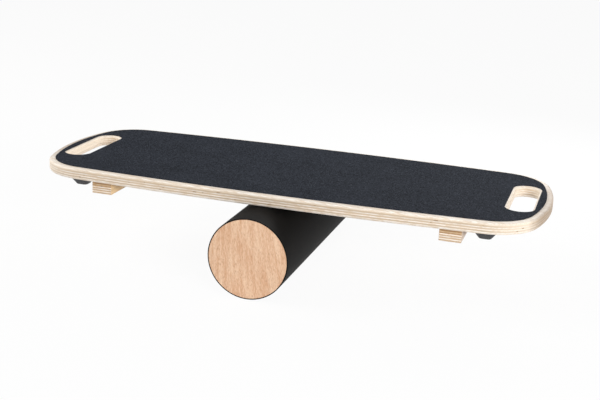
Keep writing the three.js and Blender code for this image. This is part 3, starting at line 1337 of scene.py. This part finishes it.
@dataclass
class CrossHeadScrew:
    """A screw whose head, with a tapered cross recess, looks down."""

    shank_radius: float
    head: tuple[tuple[float, float], ...]  # rings as radius and height above the head's face
    tip_length: float = 0.004
    tip_share: float = 0.1  # of the shank's radius
    recess_span: float = 0.0042
    recess_width: float = 0.0009
    recess_depth: float = 0.0015
    recess_taper: float = 0.6
    steps: int = 32

    def build(self, bm: BMesh, x: float, y: float, face: float, tip: float) -> None:
        """Build one screw.

        Args:
            bm: Where it is made.
            x: The place of its axis.
            y: The place of its axis.
            face: The height of the head's face.
            tip: The height of its point.
        """
        before = set(bm.verts)
        centre = Vector((x, y, face))
        grid = bmesh.ops.create_grid(
            bm, x_segments=3, y_segments=3, size=self.recess_span / 2, matrix=Matrix.Translation(centre)
        )["verts"]
        for vert in grid:
            for axis in (0, 1):
                offset = vert.co[axis] - centre[axis]
                if abs(offset) < self.recess_span / 4:
                    vert.co[axis] = centre[axis] + math.copysign(self.recess_width / 2, offset)
        corner = [
            item
            for item in {quad for vert in grid for quad in vert.link_faces}
            if min(abs(item.calc_center_median()[i] - centre[i]) for i in (0, 1)) > self.recess_width / 2
        ]
        bmesh.ops.delete(bm, geom=corner, context="FACES")
        cross = [item for item in bm.faces if before.isdisjoint(item.verts)]
        opening = [edge for edge in {e for item in cross for e in item.edges} if len(edge.link_faces) == 1]
        floor, rim_floor = extruded(bm, opening)
        bmesh.ops.delete(bm, geom=cross, context="FACES_ONLY")
        loose = [edge for edge in bm.edges if not edge.link_faces and before.isdisjoint(edge.verts)]
        bmesh.ops.delete(bm, geom=loose, context="EDGES")
        bmesh.ops.translate(bm, verts=floor, vec=(0, 0, self.recess_depth))
        for vert in floor:
            vert.co.x = centre.x + (vert.co.x - centre.x) * self.recess_taper
            vert.co.y = centre.y + (vert.co.y - centre.y) * self.recess_taper
        bmesh.ops.triangle_fill(bm, edges=rim_floor, use_beauty=True)
        ring = round_loop(bm, centre, self.head[0][0], self.steps)
        bmesh.ops.triangle_fill(bm, edges=ring + opening, use_beauty=True)
        for radius, height in self.head[1:]:
            ring = next_ring(bm, ring, centre, radius, face + height)
        ring = next_ring(bm, ring, centre, self.shank_radius, tip - self.tip_length)
        last = next_ring(bm, ring, centre, self.shank_radius * self.tip_share, tip)
        bmesh.ops.edgeloop_fill(bm, edges=last)


@dataclass
class StopBlocks:
    """Two plywood bars under the deck, each held by countersunk wood screws."""

    deck: Deck
    width: float = 0.0305
    height: float = 0.0184
    face_ply: float = 0.00084
    inner_ply: float = 0.00169
    inner_plies: int = 9
    # painted shade under the deck starts this high over the block's underside
    under_deck_shade_height: float = 0.0105
    outer_from_end: float = 0.1045
    end_inset: float = 0.0165
    arris: float = 0.0008
    rim_band: float = 0.0015
    screws: int = 3
    screw_end_inset: float = 0.030
    head_radius: float = 0.004
    head_hole_radius: float = 0.0043
    head_sink: float = 0.0006
    head_rim: float = 0.0005
    shank_radius: float = 0.002

    def centre_x(self, side: Side) -> float:
        """Give the middle of one block along the deck."""
        return side.value * (self.deck.outline.length / 2 - self.outer_from_end - self.width / 2)

    def screw_rows(self) -> list[float]:
        """Give the screws' places along a block."""
        reach = self.deck.outline.width / 2 - self.end_inset - self.screw_end_inset
        return [-reach + 2 * reach * index / (self.screws - 1) for index in range(self.screws)]

    def pilots(self) -> list[tuple[float, float]]:
        """Give every place where a screw enters the deck."""
        return [(self.centre_x(side), row) for side in Side for row in self.screw_rows()]

    def plywood(self, underside: float, side: Side) -> Plywood:
        """Give one block's plywood, a warmer sheet than the board's.

        Args:
            underside: The height of the block's lower face.
            side: The block's end of the deck. Its faces that look along X get painted light: warm bounce
                light on the left block, and painted shade on the right one.

        Returns:
            The plywood.
        """
        # painted light and shade on faces that look along X: warm bounce light on the left block, shade on
        # the right one
        side_lightings = {Side.LEFT: "#ffdaa6", Side.RIGHT: "#d9c6b6"}
        return Plywood(
            name=f"sawn birch plywood, {side.name.lower()} block",
            underside=underside,
            face_ply=self.face_ply,
            inner_ply=self.inner_ply,
            inner_plies=self.inner_plies,
            side_grain="#faf2e6",
            end_grain="#cba988",
            line="#e2c8a8",
            glue="#8f6c4c",
            long_side_contrast=0.1,
            painted_side_lighting=side_lightings[side],
            painted_side_lighting_share=0.85,
            # painted shade: the upper plies, under the deck, are browned
            under_deck_shade="#dfcdb3",
            under_deck_shade_height=self.under_deck_shade_height,
            roughness=(0.56, 0.72),
        )

    def build(self, steel: Material) -> None:
        """Build both blocks and their screws.

        Args:
            steel: The screws' finish.
        """
        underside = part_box("stop_block_left")[0].z
        cone = self.head_hole_radius - self.deck.pilot_radius
        rings = (
            (self.head_hole_radius, 0),
            (self.head_hole_radius, self.head_sink + self.head_rim),
            (self.deck.pilot_radius, self.head_sink + self.head_rim + cone),
            (self.deck.pilot_radius, self.height),
        )
        head = (
            (self.head_radius, 0),
            (self.head_radius, self.head_rim),
            (self.shank_radius, self.head_rim + self.head_radius - self.shank_radius),
        )
        screw = CrossHeadScrew(self.shank_radius, head)
        half = self.deck.outline.width / 2 - self.end_inset
        for side in Side:
            side_name, centre = side.name.lower(), self.centre_x(side)
            wood = self.plywood(underside, side).material()
            bm = bmesh.new()
            place = Matrix.Translation((centre, 0, underside)) @ Matrix.Diagonal((self.width, 2 * half, 1, 1))
            bmesh.ops.create_grid(bm, x_segments=1, y_segments=1, size=0.5, matrix=place)
            bmesh.ops.delete(bm, geom=bm.faces[:], context="FACES_ONLY")
            bores = tuple(Bore(centre, row, rings, through=True) for row in self.screw_rows())
            bar = Plate(bm.edges[:], underside, self.height, self.arris, self.rim_band, 2, bores)
            bar.build(bm)
            upright = [
                edge
                for edge in bm.edges
                if abs(edge.verts[0].co.z - edge.verts[1].co.z) > self.height / 2
                and all(abs(abs(vert.co.y) - half) < WELD for vert in edge.verts)
            ]
            soften(bm, upright, self.arris, segments=2)
            finished_piece(bm, f"stop_{side_name}", wood, "deck", (f"stop_block_{side_name}",))
            for number, row in enumerate(self.screw_rows(), 1):
                node = f"stop_screw_{side_name}_{number}"
                bm = bmesh.new()
                screw.build(bm, centre, row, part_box(node)[0].z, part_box(node)[1].z)
                finished_piece(bm, f"wood_screw_{side_name}_{number}", steel, "deck", (node,))


@dataclass
class Feet:
    """Four square tapered rubber feet, each with a washer and a pan-head screw in its round recess."""

    stops: StopBlocks
    half_room: float = 0.020  # half the room that a foot takes
    top_half: float = 0.0184
    top_corner: float = 0.0116
    nose_half: float = 0.0084
    nose_corner: float = 0.0048
    rim: float = 0.001
    corner_steps: int = 8
    nose_round: float = 0.0006
    nose_band: float = 0.0009
    recess_radius: float = 0.0052
    recess_depth: float = 0.010
    hole_radius: float = 0.0023
    from_side: float = 0.0235
    gap_to_stop: float = 0.008
    washer_clearance: float = 0.0003
    washer_round: float = 0.0002
    screw_radius: float = 0.002
    pan_head: tuple[tuple[float, float], ...] = (
        (0.0022, 0),
        (0.0029, 0.00014),
        (0.0035, 0.00055),
        (0.0039, 0.0012),
        (0.0040, 0.0018),
        (0.0040, 0.0026),
        (0.0020, 0.0026),
    )
    steps: int = 72

    def places(self) -> dict[str, tuple[float, float]]:
        """Give each foot's centre by its name, such as front_left."""
        outline = self.stops.deck.outline
        x = outline.length / 2 - self.stops.outer_from_end + self.gap_to_stop + self.half_room
        y = outline.width / 2 - self.from_side - self.half_room
        return {
            f"{end.name.lower()}_{side.name.lower()}": (x * side.value, y * end.value)
            for end in End
            for side in Side
        }

    def build_foot(self, name: str, x: float, y: float, rubber: Material) -> None:
        """Build one foot.

        Args:
            name: Its end and side, as front_left.
            x: Its centre.
            y: Its centre.
            rubber: Its finish.
        """
        low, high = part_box(f"rubber_foot_{name}")
        bm = bmesh.new()
        top, below, nose = (
            rounded_rectangle(bm, Vector((x, y, height)), half, half, corner, self.corner_steps)
            for height, half, corner in (
                (high.z, self.top_half, self.top_corner),
                (high.z - self.rim, self.top_half, self.top_corner),
                (low.z, self.nose_half, self.nose_corner),
            )
        )
        bmesh.ops.bridge_loops(bm, edges=top + below)
        bmesh.ops.bridge_loops(bm, edges=below + nose)
        mouth = round_loop(bm, Vector((x, y, low.z)), self.recess_radius, self.steps)
        ring = next_ring(bm, mouth, Vector((x, y, 0)), self.recess_radius, low.z + self.recess_depth)
        for height in (low.z + self.recess_depth, high.z):
            ring = next_ring(bm, ring, Vector((x, y, 0)), self.hole_radius, height)
        bmesh.ops.triangle_fill(bm, edges=top + ring, use_beauty=True)
        filled = bmesh.ops.triangle_fill(bm, edges=nose + mouth, use_beauty=True)["geom"]
        bmesh.ops.recalc_face_normals(bm, faces=bm.faces[:])
        bmesh.ops.inset_region(
            bm,
            faces=only(BMFace, filled),
            thickness=self.nose_band,
            depth=0,
            use_boundary=True,
            use_even_offset=True,
        )
        soften(bm, nose + mouth, self.nose_round, segments=3)
        finished_piece(bm, f"foot_{name}", rubber, "deck", (f"rubber_foot_{name}",))

    def build_fixing(self, name: str, x: float, y: float, steel: Material) -> None:
        """Build one foot's washer and screw.

        Args:
            name: Its end and side, as front_left.
            x: Its centre.
            y: Its centre.
            steel: Their finish.
        """
        low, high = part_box(f"foot_washer_{name}")
        outer = self.recess_radius - self.washer_clearance
        thick = high.z - low.z
        profile = [
            (self.hole_radius, 0),
            (outer, 0),
            (outer, thick),
            (self.hole_radius, thick),
            (self.hole_radius, 0),
        ]
        bm = bmesh.new()
        face = Vector((x, y, low.z))
        spun(bm, profile, face, UP, self.steps)
        soften(bm, ring_edges(bm, face, UP, outer), self.washer_round, segments=3)
        finished_piece(bm, f"washer_{name}", steel, "deck", (f"foot_washer_{name}",))
        low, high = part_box(f"foot_screw_{name}")
        bm = bmesh.new()
        CrossHeadScrew(self.screw_radius, self.pan_head).build(bm, x, y, low.z, high.z)
        finished_piece(bm, f"pan_screw_{name}", steel, "deck", (f"foot_screw_{name}",))

    def build(self, steel: Material) -> None:
        """Build every foot with its fixing.

        Args:
            steel: The washers' and screws' finish.
        """
        rubber = MouldedRubber(
            name="moulded black rubber", colour="#2b2b2d", bloom="#424245", roughness=0.6, pebble_mm=1.2
        ).material()
        for name, (x, y) in self.places().items():
            self.build_foot(name, x, y, rubber)
            self.build_fixing(name, x, y, steel)


@dataclass
class Roller:
    """The loose roller: a rubber cover on a core tube, closed by a beech disc at each end."""

    cover_radius: float = 0.057
    cover_wall: float = 0.0017
    cover_end_wall: float = 0.0012  # thinner where it is stretched over the discs
    cover_round: float = 0.0007
    disc_radius: float = 0.0556
    flange: float = 0.009
    spigot: float = 0.009
    spigot_radius: float = 0.0494
    disc_round: float = 0.0006
    steps: int = 144

    def __post_init__(self) -> None:
        """Read the roller's axis and length from the frame."""
        low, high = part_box("roller_cover")
        self.centre: Vector = (low + high) / 2
        self.half: float = (high.y - low.y) / 2

    def build_cover(self) -> None:
        """Build the rubber cover."""
        inner, end_inner = self.cover_radius - self.cover_wall, self.cover_radius - self.cover_end_wall
        neck = self.half - self.flange
        profile = [
            (end_inner, -self.half),
            (self.cover_radius, -self.half),
            (self.cover_radius, self.half),
            (end_inner, self.half),
            (end_inner, neck),
            (inner, neck - self.flange / 3),
            (inner, self.flange / 3 - neck),
            (end_inner, -neck),
            (end_inner, -self.half),
        ]
        bm = bmesh.new()
        spun(bm, profile, self.centre, BACK, self.steps)
        for end in End:
            face = self.centre + BACK * self.half * end.value
            soften(bm, ring_edges(bm, face, BACK, self.cover_radius), self.cover_round, segments=4)
        rubber = MouldedRubber(
            name="foamed rubber sleeve",
            colour="#040404",
            bloom="#0f0d0c",
            roughness=0.65,
            pebble_mm=1.6,
            gloss_level=0.066,
        )
        finished_piece(bm, "cover", rubber.material(), "roller", ("roller_cover",))

    def build_disc(self, end: End, beech: Material) -> None:
        """Build one end disc.

        Args:
            end: The end of the roller that it closes.
            beech: Its finish.
        """
        name, outward = end.name.lower(), end.value
        face = self.half * outward
        back = face - self.flange * outward
        profile = [
            (0, face),
            (self.disc_radius, face),
            (self.disc_radius, back),
            (self.spigot_radius, back),
            (self.spigot_radius, back - self.spigot * outward),
            (0, back - self.spigot * outward),
        ]
        bm = bmesh.new()
        spun(bm, profile, self.centre, BACK, self.steps)
        rim = ring_edges(bm, self.centre + BACK * face, BACK, self.disc_radius)
        soften(bm, rim, self.disc_round, segments=4)
        finished_piece(bm, f"disc_{name}", beech, "roller", (f"roller_end_disc_{name}",))

    def dress_core(self) -> None:
        """Give the core tube, whose CAD shape stays, its finish."""
        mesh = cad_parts["roller_core_tube"].data
        mesh.materials.clear()
        mesh.materials.append(ExtrudedPipe().material())
        log.info("roller_core_tube: the CAD node keeps its shape")

    def build(self) -> None:
        """Build every piece of the roller."""
        self.build_cover()
        beech = PlanedBeech(tuple(self.centre)).material()
        for end in End:
            self.build_disc(end, beech)
        self.dress_core()


@dataclass(frozen=True)
class Softbox:
    """A studio light with a flat rectangular front that looks at a point near the object's middle."""

    name: str
    azimuth: float  # degrees to the right of straight in front
    elevation: float  # degrees
    width: float
    height: float
    watts: float
    distance: float = 2.8
    target: tuple[float, float, float] = (0.0, 0.0, 0.1)

    def build(self) -> None:
        """Hang the light."""
        light = bpy.data.lights.new(self.name, "AREA")
        light.shape = "RECTANGLE"
        light.size = self.width
        light.size_y = self.height
        light.energy = self.watts
        holder = bpy.data.objects.new(self.name, light)
        azimuth, elevation = math.radians(self.azimuth), math.radians(self.elevation)
        flat = math.cos(elevation)
        aim = Vector((-flat * math.sin(azimuth), flat * math.cos(azimuth), -math.sin(elevation)))
        holder.location = Vector(self.target) - aim * self.distance
        holder.rotation_euler = aim.to_track_quat("-Z", "Y").to_euler()
        bpy.context.scene.collection.objects.link(holder)
        log.info("%s: %.1f m by %.1f m", self.name, self.width, self.height)


def seen_plainly(tree: NodeTree) -> NodeSocket:
    """Give 1 on rays that show a surface: straight from the camera, in a gloss, or through glass.

    Args:
        tree: The node tree.

    Returns:
        The socket that holds it.
    """
    path = add_node(tree, "ShaderNodeLightPath")
    seen = path.outputs["Is Camera Ray"]
    for name in ("Is Glossy Ray", "Is Transmission Ray"):
        either = add_node(tree, "ShaderNodeMath", {0: seen, 1: path.outputs[name]}, operation="MAXIMUM")
        seen = either.outputs[0]
    return seen


@dataclass
class Studio:
    """A plain white floor, a plain white world and soft lights."""

    floor_size: float = 24.0
    floor_colour: str = "#f4f4f4"
    ambient: float = 0.2
    camera_share: float = 0.94  # of the floor's look that is plain white, so that a shadow stays soft
    lights: tuple[Softbox, ...] = (
        Softbox("front right softbox", 45, 22, 1.6, 0.8, 32.0),
        Softbox("low front right softbox", 45, 16, 1.4, 0.45, 22.0),
        Softbox("left softbox", -80, 30, 1.6, 1.2, 48.0),
        Softbox("back softbox", 168, 33, 0.6, 0.5, 5.0, distance=1.0, target=(0.12, 0.05, 0.1)),
    )

    def build_floor(self) -> None:
        """Lay the floor."""
        bm = bmesh.new()
        bmesh.ops.create_grid(bm, x_segments=1, y_segments=1, size=self.floor_size / 2)
        mesh = bpy.data.meshes.new("floor")
        bm.to_mesh(mesh)
        bm.free()
        material = bpy.data.materials.new("white paper floor")
        material.use_nodes = True
        tree = material.node_tree
        tree.nodes.clear()
        paper = add_node(tree, "ShaderNodeBsdfDiffuse", {"Color": linear(self.floor_colour)})
        white = add_node(tree, "ShaderNodeEmission", {"Color": (1, 1, 1, 1), "Strength": 1.0})
        share = add_node(
            tree, "ShaderNodeMath", {0: seen_plainly(tree), 1: self.camera_share}, operation="MULTIPLY"
        )
        mixed = add_node(
            tree, "ShaderNodeMixShader", {0: share.outputs[0], 1: paper.outputs[0], 2: white.outputs[0]}
        )
        add_node(tree, "ShaderNodeOutputMaterial", {"Surface": mixed.outputs[0]})
        mesh.materials.append(material)
        floor = bpy.data.objects.new("floor", mesh)
        bpy.context.scene.collection.objects.link(floor)
        log.info("floor: %.0f m square", self.floor_size)

    def build_world(self) -> None:
        """Make the surroundings white to the camera and in reflections, and softly lit elsewhere."""
        world = bpy.data.worlds.new("white studio")
        world.use_nodes = True
        tree = world.node_tree
        tree.nodes.clear()
        ambient = add_node(tree, "ShaderNodeBackground", {"Color": (1, 1, 1, 1), "Strength": self.ambient})
        white = add_node(tree, "ShaderNodeBackground", {"Color": (1, 1, 1, 1), "Strength": 1.0})
        mixed = add_node(
            tree, "ShaderNodeMixShader", {0: seen_plainly(tree), 1: ambient.outputs[0], 2: white.outputs[0]}
        )
        add_node(tree, "ShaderNodeOutputWorld", {"Surface": mixed.outputs[0]})
        bpy.context.scene.world = world

    def build(self) -> None:
        """Set up the whole studio."""
        self.build_floor()
        self.build_world()
        for light in self.lights:
            light.build()
        bpy.context.scene.view_settings.view_transform = "Standard"


@dataclass(frozen=True)
class Viewpoint:
    """Where the camera stands and how it looks, in metres, radians and millimetres of lens."""

    place: tuple[float, float, float] = (0.46081, -1.52854, 0.56019)
    yaw: float = 0.288901
    pitch: float = -0.289306
    roll: float = 0.047217
    lens: float = 66.530
    sensor: float = 36.0

    def build(self) -> None:
        """Set up the camera."""
        data = bpy.data.cameras.new("camera")
        data.lens = self.lens
        data.sensor_width = self.sensor
        camera = bpy.data.objects.new("camera", data)
        turn = (
            Matrix.Rotation(self.yaw, 4, "Z")
            @ Matrix.Rotation(TURN / 4 + self.pitch, 4, "X")
            @ Matrix.Rotation(self.roll, 4, "Z")
        )
        camera.matrix_world = Matrix.Translation(self.place) @ turn
        bpy.context.scene.collection.objects.link(camera)
        bpy.context.scene.camera = camera
        log.info("camera: %.1f mm lens", self.lens)


def main() -> None:
    """Build the object, piece by piece, then the studio round it."""
    logging.basicConfig(level=logging.INFO, format="%(name)s: %(message)s")
    Viewpoint().build()
    deck = Deck()
    stops = StopBlocks(deck)
    feet = Feet(stops)
    steel = PlatedSteel().material()
    deck.build_board(stops.pilots() + list(feet.places().values()))
    deck.build_grip()
    stops.build(steel)
    feet.build(steel)
    Roller().build()
    Studio().build()


if __name__ == "__main__":
    main()
